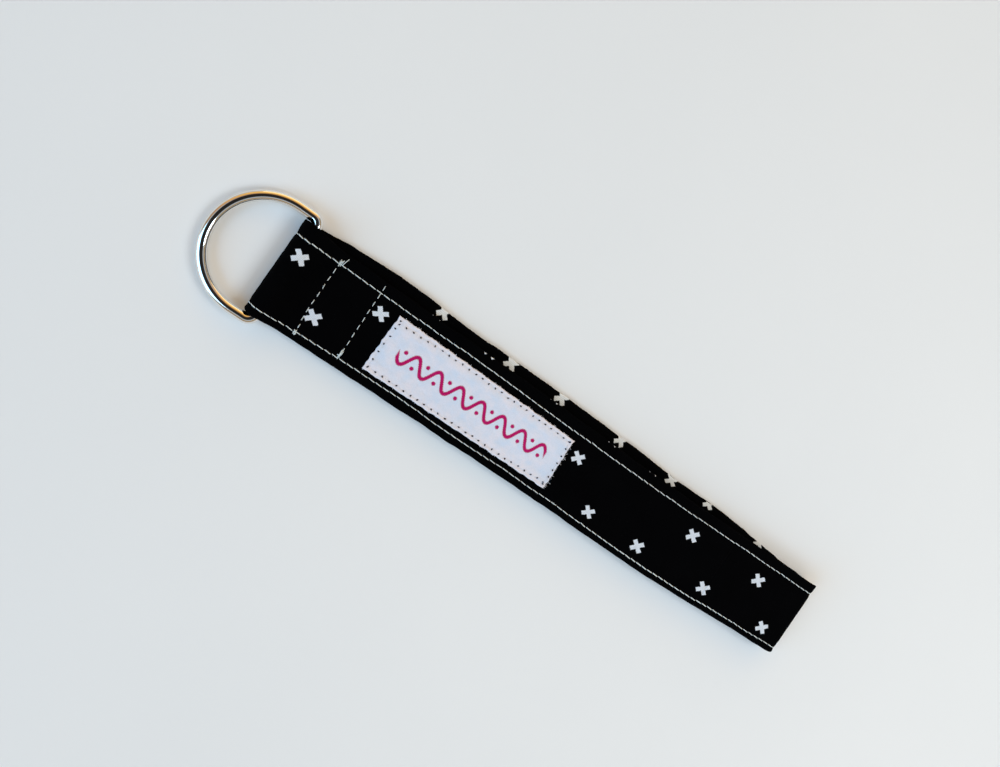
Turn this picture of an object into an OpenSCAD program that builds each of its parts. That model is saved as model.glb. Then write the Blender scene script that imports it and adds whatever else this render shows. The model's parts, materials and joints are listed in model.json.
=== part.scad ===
// Wristlet keychain: a folded and topstitched cotton strap, sewn into a flattened
// loop whose nose wraps the straight bar of a wire D-ring. A woven label is sewn
// on the upper run.
//
// Frame: X runs along the strap from the ring to the loop end, Y across it and
// Z up. The origin is the middle of the footprint, on the surface it lies on.
// Lengths below are measured along X from the nose of the strap.

/* [Strap] */
// Width of the folded strap
strap_w = 24.8; // [20:0.2:25.2]
// Thickness of one run, which is four layers of cloth round a stiffener
run_t = 1.5; // [1.2:0.1:1.8]
// Length from the nose to the loop end
strap_len = 184; // [140:1:220]
// Gap between the two runs where they are sewn together
sewn_gap = 0.4; // [0.3:0.1:0.8]
// Height of the folded loop end
loop_end_h = 6.4; // [5:0.2:7]
// How far the lower run lies to the side of the upper one
run_offset = 2.2; // [0:0.1:2.6]

/* [Ring] */
// Diameter of the ring's wire
wire_d = 2.8; // [2:0.1:3.2]
// Width inside the ring, along its bar
ring_inner_w = 26.4; // [26.4:0.2:28]
// Distance from the bar to the far side of the arc, wire centre to wire centre
ring_reach = 20; // [17:0.5:24]
// Bend radius of the two corners at the ends of the bar, at the wire's centre
corner_r = 2; // [1.8:0.1:2.2]
// Clearance between the bar and the cloth round it
bar_gap = 0.2; // [0.1:0.05:0.3]

/* [Stitching] */
// Distance of the topstitching from the closed edge of the strap
closed_inset = 1.9; // [1.5:0.1:4]
// Distance of the topstitching from the open edge of the strap
open_inset = 3; // [2:0.1:4]
// Where the first line of stitching crosses the strap
front_cross_x = 12.2; // [11:0.1:14]
// Where the second line of stitching crosses the strap
rear_cross_x = 24.3; // [20:0.1:30]
// Width of a sewn thread
thread_w = 0.5; // [0.3:0.05:0.6]
// Depth of a sewn thread in the cloth
thread_t = 0.36; // [0.2:0.02:0.4]

/* [Label] */
// Length of the label
label_l = 58.4; // [40:0.2:62]
// Width of the label
label_w = 15.8; // [10:0.2:18]
// Where the label starts
label_x = 31; // [28:0.5:34]
// Thickness of the label
label_t = 0.35; // [0.2:0.05:0.6]
// How far the label sits to the closed side of the middle
label_shift = 1.1; // [0:0.1:2]

/* [Bends] */
// Where the upper run bends when the loop opens
upper_bend_x = 112; // [105:1:125]

/* [Hidden] */

$fn = 64;

// Small distances
fit = 0.02;            // clearance round a thread or a stiffener
cut = 0.15;            // each end of a run stops this far short of its bend line
stitch_gap = 0.5;      // between a cross line and the topstitching beside it

// Levels of the two runs
wire_r = wire_d / 2;
bar_x = run_t + bar_gap + wire_r;
bar_z = bar_x;
sewn_z = run_t + sewn_gap;
loop_end_r = loop_end_h / 2;
fold_x = strap_len - loop_end_r;
ramp_end_x = 10;
head_end_x = rear_cross_x + 1;

// The four bend lines of the opening loop stand on the corners of a parallelogram,
// so the loop still closes when it is open.
lower_bend_x = head_end_x + fold_x - upper_bend_x;

// Middles of the runs across the strap
upper_y = -run_offset / 4;
lower_y = upper_y + run_offset;
taper_x = 135;         // the lower run comes back under the upper one from here

// The ring at rest: its arc lies on the surface below
arc_r = ring_inner_w / 2 + wire_r;
arc_x = ring_reach - arc_r;
droop = asin((bar_z - wire_r) / ring_reach);

// The footprint is centred on the origin
front_x = bar_x - ring_reach * cos(droop) - wire_r;
centre_x = (front_x + strap_len) / 2;

// Stitch lines across the strap, from the middle of a run
closed_y = closed_inset - strap_w / 2;
open_y = strap_w / 2 - open_inset;
groove_t = thread_t + 2 * fit;
groove_w = thread_w + 2 * fit;
post_pitch = 2.4;
post_r = 0.2;

// Stiffener inside each run
core_t = 0.5;
core_w = strap_w - 5;
core_a = (run_t - core_t) / 2;

label_stitch_inset = 1.7;
label_thread_w = 0.3;
label_thread_t = 0.15;

cloth = [0.035, 0.035, 0.04];
thread = [0.93, 0.91, 0.88];
steel = [0.78, 0.77, 0.75];
felt = [0.85, 0.84, 0.8];
lilac = [0.82, 0.82, 0.9];

// Height of the upper run's underside
function under_z(x) =
    x <= head_end_x ? sewn_z
    : sewn_z + (loop_end_h - run_t - sewn_z) * (x - head_end_x) / (fold_x - head_end_x);

// Where the lower run's middle is at x
function lower_mid(x) =
    x <= taper_x ? lower_y : lower_y + (upper_y - lower_y) * (x - taper_x) / (fold_x - taper_x);

// Moves a shape drawn from the nose into the part's frame
module placed() translate([-centre_x, 0, 0]) children();

// Carries an outline drawn in X and Z across the strap, from y0 to y1
module across(y0, y1)
    translate([0, y1, 0]) rotate([90, 0, 0]) linear_extrude(y1 - y0) children();

// A slab that follows the upper run, between two heights above its underside
module upper_slab(x0, x1, y0, y1, a, b)
    across(y0, y1)
        polygon([
            [x0, under_z(x0) + a], [x1, under_z(x1) + a],
            [x1, under_z(x1) + b], [x0, under_z(x0) + b]
        ]);

// A slab that follows the lower run, between two heights and two distances
// from its middle
module lower_slab(x0, x1, y0, y1, a, b) {
    mid_x = min(max(taper_x, x0 + fit), x1 - fit);
    translate([0, 0, a])
        linear_extrude(b - a)
            polygon([
                [x0, lower_mid(x0) + y0], [mid_x, lower_mid(mid_x) + y0],
                [x1, lower_mid(x1) + y0], [x1, lower_mid(x1) + y1],
                [mid_x, lower_mid(mid_x) + y1], [x0, lower_mid(x0) + y1]
            ]);
}

// Half of a tube's end, open to +X at the nose and to -X at the loop end
module half_ring(r_in, r_out, side)
    intersection() {
        difference() {
            circle(r_out);
            circle(r_in);
        }
        translate([side > 0 ? 0 : -r_out, -r_out]) square([r_out, 2 * r_out]);
    }

// The nose and the two stretches behind it, at a depth of a to b from the inner
// face and from y0 to y1 across
module nose_wrap(y0, y1, a, b) {
    inner = wire_r + bar_gap;
    translate([bar_x, upper_y, bar_z])
        across(y0, y1) half_ring(inner + a, inner + b, -1);
    across(y0 + upper_y, y1 + upper_y)
        polygon([
            [bar_x, bar_z + inner + a], [ramp_end_x, sewn_z + a],
            [ramp_end_x, sewn_z + b], [bar_x, bar_z + inner + b]
        ]);
    translate([0, 0, run_t - b])
        linear_extrude(b - a)
            polygon([
                [bar_x, upper_y + y0], [ramp_end_x, lower_y + y0],
                [ramp_end_x, lower_y + y1], [bar_x, upper_y + y1]
            ]);
}

// The fold at the loop end, at a depth of a to b from the inner face
module loop_fold(y0, y1, a, b)
    translate([fold_x, upper_y, loop_end_r])
        across(y0, y1) half_ring(loop_end_r - run_t + a, loop_end_r - run_t + b, 1);

// Where the stitching across both runs starts on each face, clear of the topstitching
upper_bar_y = upper_y + closed_y + stitch_gap;
lower_bar_y = lower_y + closed_y + stitch_gap;
bar_end_y = upper_y + open_y - stitch_gap;

// The threads that pass down through both runs
module cross_posts(x, r)
    for (y = [lower_bar_y + stitch_gap : post_pitch : bar_end_y - stitch_gap])
        translate([x, y, groove_t - fit])
            cylinder(r = r, h = sewn_z + run_t - 2 * groove_t + 2 * fit);

// One bar across a face, from y0, grown all round by gap
module cross_bar(x, y0, z, gap)
    translate([x - thread_w / 2 - gap, y0 - gap, z - gap])
        cube([thread_w + 2 * gap, bar_end_y - y0 + 2 * gap, thread_t + 2 * gap]);

// A line of stitching across both runs, or with a gap the room that it takes
module cross_line(x, gap) {
    cross_bar(x, lower_bar_y, fit, gap);
    cross_bar(x, upper_bar_y, sewn_z + run_t - fit - thread_t, gap);
    cross_posts(x, post_r + gap);
}

// ---- ring ----

module ring_corner(side)
    translate([-corner_r, side * (arc_r - corner_r), 0])
        rotate([0, 0, side > 0 ? 0 : -90])
            rotate_extrude(angle = 90) translate([corner_r, 0]) circle(wire_r);

module d_ring()
    color(steel)
        placed()
            translate([bar_x, 0, bar_z])
                rotate([0, -droop, 0]) {
                    rotate([90, 0, 0])
                        cylinder(r = wire_r, h = 2 * (arc_r - corner_r), center = true);
                    for (side = [-1, 1]) {
                        ring_corner(side);
                        translate([-arc_x, side * arc_r, 0])
                            rotate([0, 90, 0]) cylinder(r = wire_r, h = arc_x - corner_r);
                    }
                    translate([-arc_x, 0, 0])
                        rotate([0, 0, 90])
                            rotate_extrude(angle = 180) translate([arc_r, 0]) circle(wire_r);
                }

// ---- cloth of the strap ----

// Half of the strap's width
half_w = strap_w / 2;
half_core = core_w / 2;

// Cuts the two topstitch grooves and the stiffener's room from a run
module upper_run(x0, x1)
    difference() {
        upper_slab(x0, x1, upper_y - half_w, upper_y + half_w, 0, run_t);
        upper_slab(x0 - 1, x1 + 1, upper_y - half_core - fit, upper_y + half_core + fit,
            core_a - fit, core_a + core_t + fit);
        for (y = [closed_y, open_y])
            upper_slab(x0 - 1, x1 + 1, upper_y + y - groove_w / 2, upper_y + y + groove_w / 2,
                run_t - groove_t, run_t + 1);
    }

module lower_run(x0, x1)
    difference() {
        lower_slab(x0, x1, -half_w, half_w, 0, run_t);
        lower_slab(x0 - 1, x1 + 1, -half_core - fit, half_core + fit,
            core_a - fit, core_a + core_t + fit);
        for (y = [closed_y, open_y])
            lower_slab(x0 - 1, x1 + 1, y - groove_w / 2, y + groove_w / 2, -1, groove_t);
    }

module strap_nose()
    color(cloth)
        placed()
            difference() {
                nose_wrap(-half_w, half_w, 0, run_t);
                nose_wrap(-half_core - fit, half_core + fit, core_a - fit, core_a + core_t + fit);
                for (y = [closed_y, open_y])
                    nose_wrap(y - groove_w / 2, y + groove_w / 2, run_t - groove_t, run_t + fit);
            }

module strap_sewn_upper()
    color(cloth)
        placed()
            difference() {
                upper_run(ramp_end_x, head_end_x - cut);
                cross_line(front_cross_x, fit);
                cross_line(rear_cross_x, fit);
            }

module strap_lower_front()
    color(cloth)
        placed()
            difference() {
                lower_run(ramp_end_x, lower_bend_x - cut);
                cross_line(front_cross_x, fit);
                cross_line(rear_cross_x, fit);
            }

module strap_lower_rear()
    color(cloth) placed() lower_run(lower_bend_x + cut, fold_x - cut);

module strap_loop_end()
    color(cloth)
        placed()
            difference() {
                loop_fold(-half_w, half_w, 0, run_t);
                loop_fold(-half_core - fit, half_core + fit, core_a - fit, core_a + core_t + fit);
                for (y = [closed_y, open_y])
                    loop_fold(y - groove_w / 2, y + groove_w / 2, run_t - groove_t, run_t + fit);
            }

module strap_upper_rear()
    color(cloth) placed() upper_run(upper_bend_x + cut, fold_x);

module strap_upper_front()
    color(cloth) placed() upper_run(head_end_x + cut, upper_bend_x - cut);

// ---- stiffener inside the cloth ----

module upper_core(x0, x1)
    upper_slab(x0, x1, upper_y - half_core, upper_y + half_core, core_a, core_a + core_t);

module lower_core(x0, x1)
    lower_slab(x0, x1, -half_core, half_core, core_a, core_a + core_t);

module stiffener_front()
    color(felt)
        placed()
            difference() {
                union() {
                    nose_wrap(-half_core, half_core, core_a, core_a + core_t);
                    upper_core(ramp_end_x, head_end_x - cut);
                    lower_core(ramp_end_x, lower_bend_x - cut);
                }
                cross_line(front_cross_x, fit);
                cross_line(rear_cross_x, fit);
            }

module stiffener_lower_rear()
    color(felt) placed() lower_core(lower_bend_x + cut, fold_x - cut);

module stiffener_upper_rear()
    color(felt)
        placed() {
            upper_core(upper_bend_x + cut, fold_x);
            loop_fold(-half_core, half_core, core_a, core_a + core_t);
        }

module stiffener_upper_front()
    color(felt) placed() upper_core(head_end_x + cut, upper_bend_x - cut);

// ---- topstitching ----

// y is the line's distance from the middle of a run
module upper_thread(y, x0, x1)
    upper_slab(x0, x1, upper_y + y - thread_w / 2, upper_y + y + thread_w / 2,
        run_t - fit - thread_t, run_t - fit);

module lower_thread(y, x0, x1)
    lower_slab(x0, x1, y - thread_w / 2, y + thread_w / 2, fit, fit + thread_t);

module front_thread(y)
    color(thread)
        placed() {
            nose_wrap(y - thread_w / 2, y + thread_w / 2, run_t - fit - thread_t, run_t - fit);
            upper_thread(y, ramp_end_x, head_end_x - cut);
            lower_thread(y, ramp_end_x, lower_bend_x - cut);
        }

module lower_rear_thread(y)
    color(thread) placed() lower_thread(y, lower_bend_x + cut, fold_x - cut);

module upper_rear_thread(y)
    color(thread)
        placed() {
            upper_thread(y, upper_bend_x + cut, fold_x);
            loop_fold(y - thread_w / 2, y + thread_w / 2, run_t - fit - thread_t, run_t - fit);
        }

module upper_front_thread(y)
    color(thread) placed() upper_thread(y, head_end_x + cut, upper_bend_x - cut);

module topstitch_open_front() front_thread(open_y);
module topstitch_closed_front() front_thread(closed_y);
module topstitch_open_lower_rear() lower_rear_thread(open_y);
module topstitch_closed_lower_rear() lower_rear_thread(closed_y);
module topstitch_open_upper_rear() upper_rear_thread(open_y);
module topstitch_closed_upper_rear() upper_rear_thread(closed_y);
module topstitch_open_upper_front() upper_front_thread(open_y);
module topstitch_closed_upper_front() upper_front_thread(closed_y);

// ---- stitching and seam across the sewn stretch ----

module cross_stitch_front() color(thread) placed() cross_line(front_cross_x, 0);
module cross_stitch_rear() color(thread) placed() cross_line(rear_cross_x, 0);

// The strip's two sewn ends lie open between the runs
seam_x = (front_cross_x + rear_cross_x) / 2;
seam_flap = 4.6;
seam_w = strap_w - run_offset - 1;

module seam_allowance()
    color(cloth)
        placed()
            for (side = [-1, 1])
                translate([seam_x + side * (seam_flap + thread_w + fit) / 2,
                    upper_y + run_offset / 2, run_t + sewn_gap / 2])
                    cube([seam_flap, seam_w, sewn_gap - 2 * fit], center = true);

module seam_stitch()
    color(thread)
        placed()
            translate([seam_x, upper_y + run_offset / 2, run_t + sewn_gap / 2])
                cube([thread_w - fit, seam_w - 2, sewn_gap - 2 * fit], center = true);

// ---- label ----

label_y0 = upper_y - label_shift - label_w / 2;
label_y1 = label_y0 + label_w;

module label()
    color(lilac)
        placed()
            upper_slab(label_x, label_x + label_l, label_y0, label_y1, run_t, run_t + label_t);

module label_stitch()
    color(thread)
        placed() {
            a = run_t + label_t;
            b = a + label_thread_t;
            x0 = label_x + label_stitch_inset;
            x1 = label_x + label_l - label_stitch_inset;
            y0 = label_y0 + label_stitch_inset;
            y1 = label_y1 - label_stitch_inset;
            for (y = [y0, y1 - label_thread_w])
                upper_slab(x0, x1, y, y + label_thread_w, a, b);
            for (x = [x0, x1 - label_thread_w])
                upper_slab(x, x + label_thread_w, y0, y1, a, b);
        }

d_ring();
strap_nose();
strap_sewn_upper();
strap_lower_front();
strap_lower_rear();
strap_loop_end();
strap_upper_rear();
strap_upper_front();
stiffener_front();
stiffener_lower_rear();
stiffener_upper_rear();
stiffener_upper_front();
topstitch_open_front();
topstitch_closed_front();
topstitch_open_lower_rear();
topstitch_closed_lower_rear();
topstitch_open_upper_rear();
topstitch_closed_upper_rear();
topstitch_open_upper_front();
topstitch_closed_upper_front();
cross_stitch_front();
cross_stitch_rear();
seam_allowance();
seam_stitch();
label();
label_stitch();
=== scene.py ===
import json
import math

import bpy
import numpy as np
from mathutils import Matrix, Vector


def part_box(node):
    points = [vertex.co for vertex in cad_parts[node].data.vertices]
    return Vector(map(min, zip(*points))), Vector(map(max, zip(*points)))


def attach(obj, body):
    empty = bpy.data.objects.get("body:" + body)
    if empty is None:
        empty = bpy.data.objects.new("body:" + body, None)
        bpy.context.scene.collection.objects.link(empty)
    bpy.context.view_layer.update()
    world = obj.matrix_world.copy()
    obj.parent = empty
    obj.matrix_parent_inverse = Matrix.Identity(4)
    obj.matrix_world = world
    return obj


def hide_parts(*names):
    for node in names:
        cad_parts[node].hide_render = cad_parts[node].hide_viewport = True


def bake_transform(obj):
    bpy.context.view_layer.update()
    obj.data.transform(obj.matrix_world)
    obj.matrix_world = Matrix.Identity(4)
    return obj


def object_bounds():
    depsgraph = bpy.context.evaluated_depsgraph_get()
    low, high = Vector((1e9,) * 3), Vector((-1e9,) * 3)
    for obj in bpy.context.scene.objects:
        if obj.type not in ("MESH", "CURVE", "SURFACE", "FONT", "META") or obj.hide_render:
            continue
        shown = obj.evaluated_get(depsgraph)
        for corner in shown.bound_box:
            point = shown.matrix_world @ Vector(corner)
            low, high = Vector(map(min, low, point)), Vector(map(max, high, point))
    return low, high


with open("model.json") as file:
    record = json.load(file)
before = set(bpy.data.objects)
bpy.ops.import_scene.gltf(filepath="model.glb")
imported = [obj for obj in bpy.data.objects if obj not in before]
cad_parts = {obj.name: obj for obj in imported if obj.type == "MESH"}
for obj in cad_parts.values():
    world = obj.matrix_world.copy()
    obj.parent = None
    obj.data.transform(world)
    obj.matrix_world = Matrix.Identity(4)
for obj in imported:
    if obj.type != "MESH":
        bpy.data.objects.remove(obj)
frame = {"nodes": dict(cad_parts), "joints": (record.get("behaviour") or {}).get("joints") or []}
cad_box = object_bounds()

# The looks of a wristlet keychain: a folded cotton strap with a printed pattern, its woven
# label, its threads and its wire ring. Everything soft is placed by place(), which bends
# flat strip coordinates round the loop that the CAD holds.

MM = 0.001


# ---- sizes, read from the frame ----

def joint_pos(name):
    """The point on a joint's axis, in the row frame."""
    found = [j for j in frame["joints"] if j["name"] == name]
    return np.array(found[0]["pos_m"])


def middle(node, axis):
    """The middle of a node's box along one axis."""
    low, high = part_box(node)
    return (low[axis] + high[axis]) / 2


bar = joint_pos("ring_swing")

upper_low, upper_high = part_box("strap_upper_front")
run_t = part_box("strap_lower_rear")[1].z
half_w = (upper_high.y - upper_low.y) / 2
upper_y = middle("strap_upper_front", 1)
lower_y = middle("strap_lower_front", 1)
nose_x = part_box("strap_nose")[0].x
ramp_end_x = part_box("strap_nose")[1].x
head_end_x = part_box("strap_sewn_upper")[1].x
sewn_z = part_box("strap_sewn_upper")[0].z
fold_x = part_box("strap_loop_end")[0].x
fold_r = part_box("strap_loop_end")[1].z / 2
nose_in_r = bar[2] - run_t
open_line = middle("topstitch_open_upper_front", 1) - upper_y
closed_line = middle("topstitch_closed_upper_front", 1) - upper_y
cross_xs = [
    middle("cross_stitch_front", 0) + 0.35 * MM, middle("cross_stitch_rear", 0) + 0.3 * MM,
]
cross_leans = [0.55 * MM, 0.3 * MM]  # of each line across, along the strap
label_low, label_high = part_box("label")
label_half_l = (label_high.x - label_low.x) / 2
label_half_w = (label_high.y - label_low.y) / 2
core_low, core_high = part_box("stiffener_upper_front")

# ---- sizes of the cloth and of the sewing ----

LAYER_T = 0.24 * MM  # one layer of the cotton
LAYER_GAP = 0.01 * MM
CLOSED_REACH = 0.45 * MM  # of the closed fold's turn
RAW_EDGE_IN = 0.4 * MM  # of the raw edges, past the closed side's topstitching
NEEDLE_PITCH = 2.15 * MM
SLIP_X = nose_x + 14.5 * MM  # the lower run lies fully to the side from here
TAPER_X = nose_x + 135 * MM  # and comes back under the upper one from here
LOWER_SPLIT_X = nose_x + 140 * MM
UPPER_SPLIT_X = nose_x + 150 * MM
TONGUE = 1.3 * MM  # the upper run reaches this far into the sewn stretch
FOLD_HALF = 5.0 * MM  # half the length of cloth in the loop end's turn

# How far hand sewing moves the strap's lines and edges. Each bow is (mm from the nose, its
# spread, how far across it goes).
UPPER_RUN_BOW = [(122, 34, -0.7)]
OPEN_LINE_BOW = [(88, 16, -0.25)]
CLOSED_LINE_BOW = [(35, 22, 0.7), (84, 18, 0.3), (138, 26, -0.5)]
CLOSED_EDGE_BOW = [(138, 26, 0.5)]
LOWER_EDGE_BOW = [(29, 13, 1.0), (78, 34, 0.6), (127, 9, -0.5)]
OPEN_LINE_DRIFT = 0.09 * MM
CLOSED_LINE_DRIFT = 0.08 * MM
OPEN_EDGE_WANDER = 0.13 * MM
CLOSED_EDGE_WANDER = 0.09 * MM
FINE_SHARE = 0.4  # of an edge's short waves to its long ones
OPEN_FLARE = 1.1 * MM  # how far the edges stand out beside the ring's bar
CLOSED_FLARE = 0.35 * MM
RUN_SWAY = 0.16 * MM  # how the upper run rises and falls along its length
RUN_SWAY_EASE = 20 * MM  # from each of its ends
FACE_SWAY = 0.03 * MM
PARTED = 0.07 * MM  # how far the open edge's two folds part
PARTED_MORE = 0.05 * MM

# What sewing takes off a run's thickness, as shares of it, and what the cloth gains between
LINE_PULL = 0.26
LINE_PULL_FOLD = 0.36  # more where the loop end turns
LINE_PULL_W = 0.75 * MM
CROSS_PULL = 0.24
CROSS_PULL_W = 0.8 * MM
CROWN = 0.03
EDGE_PUFF = 0.05
EDGE_PUFF_W = 1.1 * MM


# ---- seeded noise ----

def waves(seed, shortest, longest, count=7):
    """A smooth wandering function of a length, from about -1 to 1."""
    draw = np.random.default_rng(seed)
    lengths = np.exp(draw.uniform(math.log(shortest), math.log(longest), count))
    phases = draw.uniform(0, 2 * math.pi, count)
    weights = np.sqrt(lengths / lengths.sum())

    def at(s):
        s = np.asarray(s, float)[..., None]
        return (weights * np.sin(2 * math.pi * s / lengths + phases)).sum(-1) / 1.4

    return at


def smooth(t):
    """0 below 0, 1 above 1 and an easy curve between."""
    t = np.clip(t, 0, 1)
    return t * t * (3 - 2 * t)


def bell(d, width):
    return np.exp(-(d / width) ** 2)


def joined(parts):
    """The coordinates of several parts, each as one array."""
    return (np.concatenate(values) for values in zip(*parts, strict=True))


# ---- the path of the strip round the loop ----

upper_sway = waves(11, 22 * MM, 60 * MM)


def upper_inner_z(x):
    """Height of the upper run's underside."""
    rise = (2 * fold_r - run_t - sewn_z) * (x - head_end_x) / (fold_x - head_end_x)
    room = smooth((x - head_end_x) / RUN_SWAY_EASE) * smooth((fold_x - x) / RUN_SWAY_EASE)
    rest = sewn_z + np.maximum(rise, 0) + RUN_SWAY * upper_sway(x) * room
    lift = bar[2] + nose_in_r - sewn_z
    return rest + lift * (1 - smooth((x - bar[0]) / (ramp_end_x - bar[0])))


def trace_path():
    """Fine points of the strip's inner face, from its head end round the loop and back:
    position, outward normal and length along the outer face."""
    fine = 0.05 * MM
    fore = np.arange(head_end_x, bar[0], -fine)
    nose = np.linspace(math.pi / 2, 1.5 * math.pi, 160)
    lower = np.arange(bar[0] + fine, fold_x, fine)
    fold = np.linspace(-math.pi / 2, math.pi / 2, 160)
    back = np.arange(fold_x - fine, head_end_x - 2 * TONGUE, -fine)
    fold_in = fold_r - run_t
    parts = [
        (fore, upper_inner_z(fore)),
        (bar[0] + nose_in_r * np.cos(nose), bar[2] + nose_in_r * np.sin(nose)),
        (lower, run_t + 0 * lower),
        (fold_x + fold_in * np.cos(fold), fold_r + fold_in * np.sin(fold)),
        (back, upper_inner_z(back)),
    ]
    x, z = joined(parts)
    tx, tz = np.gradient(x), np.gradient(z)
    size = np.hypot(tx, tz)
    nx, nz = tz / size, -tx / size
    step = np.hypot(np.diff(x + nx * run_t), np.diff(z + nz * run_t))
    s = np.append(0, np.cumsum(step))
    starts = np.cumsum([0] + [len(part[0]) for part in parts])
    return {"s": s, "x": x, "z": z, "nx": nx, "nz": nz, "starts": starts}


path = trace_path()


def s_at(x, stretch):
    """Length along the strip where a stretch is at x: 0 fore, 2 lower run, 4 back."""
    a, b = path["starts"][stretch], path["starts"][stretch + 1]
    sign = 1 if stretch == 2 else -1
    return float(np.interp(sign * x, sign * path["x"][a:b], path["s"][a:b]))


lower_split_s = s_at(LOWER_SPLIT_X, 2)
upper_split_s = s_at(UPPER_SPLIT_X, 4)
head_back_s = s_at(head_end_x, 4)
whole_s = s_at(head_end_x - TONGUE, 4)
fold_s = s_at(fold_x, 2)
nose_s = (s_at(bar[0], 0), s_at(SLIP_X, 2))
taper_s = (s_at(TAPER_X, 2), fold_s)
cross_s = [s_at(x, run) for x in cross_xs for run in (0, 2)]
cross_s += [head_back_s + s_at(x, 0) for x in cross_xs]
STITCH = head_back_s / round(head_back_s / NEEDLE_PITCH)  # a whole number go round the loop
STATION = STITCH / 4  # spacing of the cross-sections along the strap


def bowed(s, bows, lower=False):
    """How far bows move the strap across at s, on its upper side or on its lower."""
    here = (np.interp(s, path["s"], path["x"]) - nose_x) / MM
    side = smooth((s - nose_s[0]) / (5 * MM)) * (1 - smooth((s - fold_s) / (12 * MM)))
    far = sum(size * bell(here - x, width) for x, width, size in bows)
    return (side if lower else 1 - side) * far * MM


def run_mid(s):
    """Where the strip's middle is across: the lower run lies to one side."""
    slip = smooth((s - nose_s[0]) / (nose_s[1] - nose_s[0]))
    back = smooth((s - taper_s[0]) / (taper_s[1] - taper_s[0]))
    return upper_y + (lower_y - upper_y) * (slip - back) + bowed(s, UPPER_RUN_BOW)


drift_open = waves(28, 14 * MM, 50 * MM)
drift_closed = waves(29, 14 * MM, 50 * MM)


def free(s):
    """0 at the head end, where the strip's two ends match, and 1 further away."""
    return smooth(s / (6 * MM)) * smooth((head_back_s - s) / (6 * MM))


def open_at(s):
    """Where the open side's topstitching runs."""
    return open_line + OPEN_LINE_DRIFT * free(s) * drift_open(s) + bowed(s, OPEN_LINE_BOW)


def closed_at(s):
    """Where the closed side's topstitching runs."""
    drift = CLOSED_LINE_DRIFT * free(s) * drift_closed(s)
    return closed_line + drift + bowed(s, CLOSED_LINE_BOW)


edge_out = waves(21, 3 * MM, 24 * MM)
edge_in = waves(22, 3 * MM, 24 * MM)
edge_closed = waves(23, 4 * MM, 30 * MM)
edge_fine_out = waves(24, 0.9 * MM, 2.5 * MM)
edge_fine_in = waves(25, 0.9 * MM, 2.5 * MM)
fold_part = waves(26, 6 * MM, 30 * MM)
face_sway = waves(27, 5 * MM, 18 * MM)


def squeeze(s, y):
    """How much the run is pressed together at its sewing, less its puff between."""
    hole = 0.72 + 0.28 * np.cos(2 * math.pi * s / STITCH)
    lines = bell(y - open_at(s), LINE_PULL_W) + bell(y - closed_at(s), LINE_PULL_W)
    across = sum(bell(s - at, CROSS_PULL_W) for at in cross_s)
    crown = CROWN * (1 - (y / half_w) ** 2)
    puff = EDGE_PUFF * bell(y - (open_line + half_w) / 2, EDGE_PUFF_W)
    pull = LINE_PULL + LINE_PULL_FOLD * bell(s - fold_s - FOLD_HALF, FOLD_HALF)
    return pull * lines * hole + CROSS_PULL * across - crown - puff


def place(s, y, h):
    """Row frame points of strip coordinates: s along the strip, y across it and h out
    from its inner face."""
    s, y, h = np.broadcast_arrays(s, y, h)
    at = {k: np.interp(s, path["s"], path[k]) for k in ("x", "z", "nx", "nz")}
    outer = smooth((h / run_t - 0.3) / 0.4)
    open_side = np.clip((y - open_line) / (half_w - open_line), 0, 1)
    closed_side = np.clip((closed_line - y) / (half_w + closed_line), 0, 1)
    wander = outer * (edge_out(s) + FINE_SHARE * edge_fine_out(s))
    wander = wander + (1 - outer) * (edge_in(s) + FINE_SHARE * edge_fine_in(s))
    flare = OPEN_FLARE * bell(s - nose_s[0] - 1.5 * MM, 7 * MM)
    out = OPEN_EDGE_WANDER * free(s) * wander + flare + bowed(s, LOWER_EDGE_BOW, lower=True)
    y2 = y + open_side * out
    flare = CLOSED_FLARE * bell(s - nose_s[0] - 2 * MM, 4 * MM)
    out = CLOSED_EDGE_WANDER * free(s) * edge_closed(s) + flare + bowed(s, CLOSED_EDGE_BOW)
    y2 = y2 - closed_side * out
    part = open_side * (PARTED + PARTED_MORE * free(s) * fold_part(s)) * (2 * outer - 1)
    thick = run_t / 2 + (h - run_t / 2) * (1 - squeeze(s, y)) + part
    thick = thick + FACE_SWAY * free(s) * face_sway(s + 3 * y) * outer
    return np.stack([
        at["x"] + at["nx"] * thick, run_mid(s) + y2, at["z"] + at["nz"] * thick,
    ], axis=-1)


# ---- meshes ----

def sweep_faces(stations, ring, cap):
    """Quads of a tube of closed rings, capped at both ends."""
    i = np.arange(stations - 1)[:, None] * ring
    j = np.arange(ring)
    k = (j + 1) % ring
    wall = np.stack([i + j, i + k, i + ring + k, i + ring + j], axis=-1).reshape(-1, 4)
    cap = np.array(cap)
    return np.concatenate([wall, cap[:, ::-1], cap + (stations - 1) * ring])


def strip_cap(ring):
    """The cap of a ring whose second half runs back along its first half."""
    half = ring // 2
    return [(i, i + 1, ring - 2 - i, ring - 1 - i) for i in range(half - 1)]


def outward(verts, faces):
    """The faces, turned so that their normals point out."""
    p = verts[faces]
    a = np.einsum("ij,ij->i", p[:, 0], np.cross(p[:, 1], p[:, 2]))
    b = np.einsum("ij,ij->i", p[:, 0], np.cross(p[:, 2], p[:, 3]))
    return faces[:, ::-1] if (a + b).sum() < 0 else faces


def new_object(name, data):
    """A new object in the scene."""
    made = bpy.data.objects.new(name, data)
    bpy.context.scene.collection.objects.link(made)
    return made


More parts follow.
